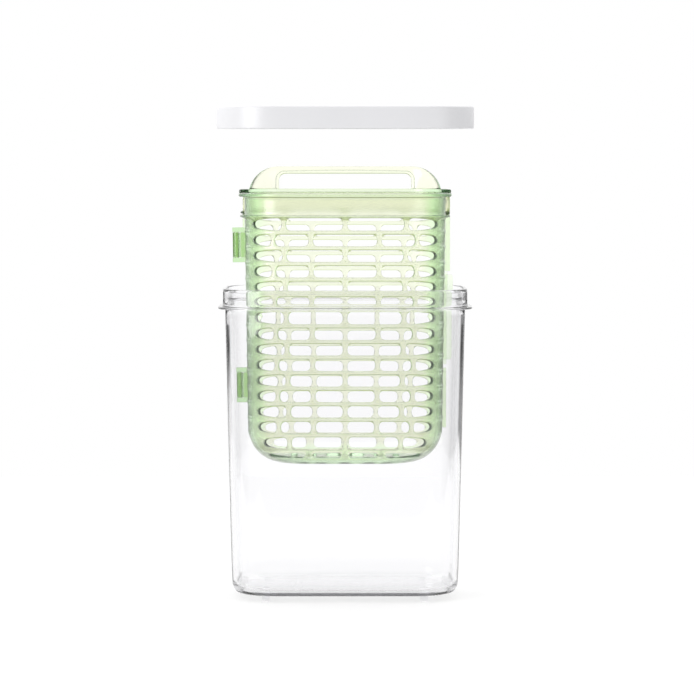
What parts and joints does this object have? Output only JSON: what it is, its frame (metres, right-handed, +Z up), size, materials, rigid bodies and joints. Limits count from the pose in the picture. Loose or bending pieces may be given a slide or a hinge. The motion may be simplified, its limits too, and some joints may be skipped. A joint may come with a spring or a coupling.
{
  "type": "herb keeper",
  "caption": "Upright fridge herb keeper: clear rounded tub, slatted translucent basket in two hinged halves with a carrying handle, and a flat cap lid, shown taken apart.",
  "frame": {"origin": "on the resting surface under the feet, below the middle of the tub", "axes": "+Z up through tub, basket and lid; +X to the right, from the hinge side to the finger tab; +Y to the back, where the handle is"},
  "size_m": [0.1354, 0.0914, 0.2592],
  "materials": {
    "clear_plastic": "clear moulded plastic, polished",
    "green_plastic": "translucent pale green moulded plastic, glossy",
    "white_plastic": "opaque white moulded plastic, satin"
  },
  "bodies": {
    "tub": {"tub_shell": "clear_plastic", "tub_foot_front_left": "clear_plastic", "tub_foot_front_right": "clear_plastic", "tub_foot_back_left": "clear_plastic", "tub_foot_back_right": "clear_plastic"},
    "basket": {"basket_back_grille": "green_plastic", "basket_left_side": "green_plastic", "basket_left_corner": "green_plastic", "basket_right_side": "green_plastic", "basket_right_corner": "green_plastic", "basket_floor": "green_plastic", "basket_rim": "green_plastic", "basket_handle": "green_plastic", "basket_parting_flange": "green_plastic", "hinge_bracket_lower": "green_plastic", "hinge_bracket_upper": "green_plastic", "hinge_pin_lower": "green_plastic", "hinge_pin_upper": "green_plastic", "latch_catch": "green_plastic"},
    "door": {"door_front_grille": "green_plastic", "door_left_side": "green_plastic", "door_left_corner": "green_plastic", "door_right_side": "green_plastic", "door_right_corner": "green_plastic", "door_floor": "green_plastic", "door_rim": "green_plastic", "door_parting_flange": "green_plastic", "hinge_clip_lower": "green_plastic", "hinge_clip_upper": "green_plastic", "latch_tab": "green_plastic"},
    "lid": {"lid_cap": "white_plastic"}
  },
  "joints": [
    {"name": "basket_lift", "type": "slide", "parent": "tub", "child": "basket", "axis": [0, 0, 1], "range_m": [-0.0662, 0.1]},
    {"name": "door_swing", "type": "hinge", "parent": "basket", "child": "door", "pos_m": [-0.05702, 0, 0.149], "axis": [0.0132, 0, -0.9999], "range_deg": [0, 1]},
    {"name": "lid_lift", "type": "slide", "parent": "basket", "child": "lid", "axis": [0, 0, 1], "range_m": [-0.027, 0.06]}
  ]
}
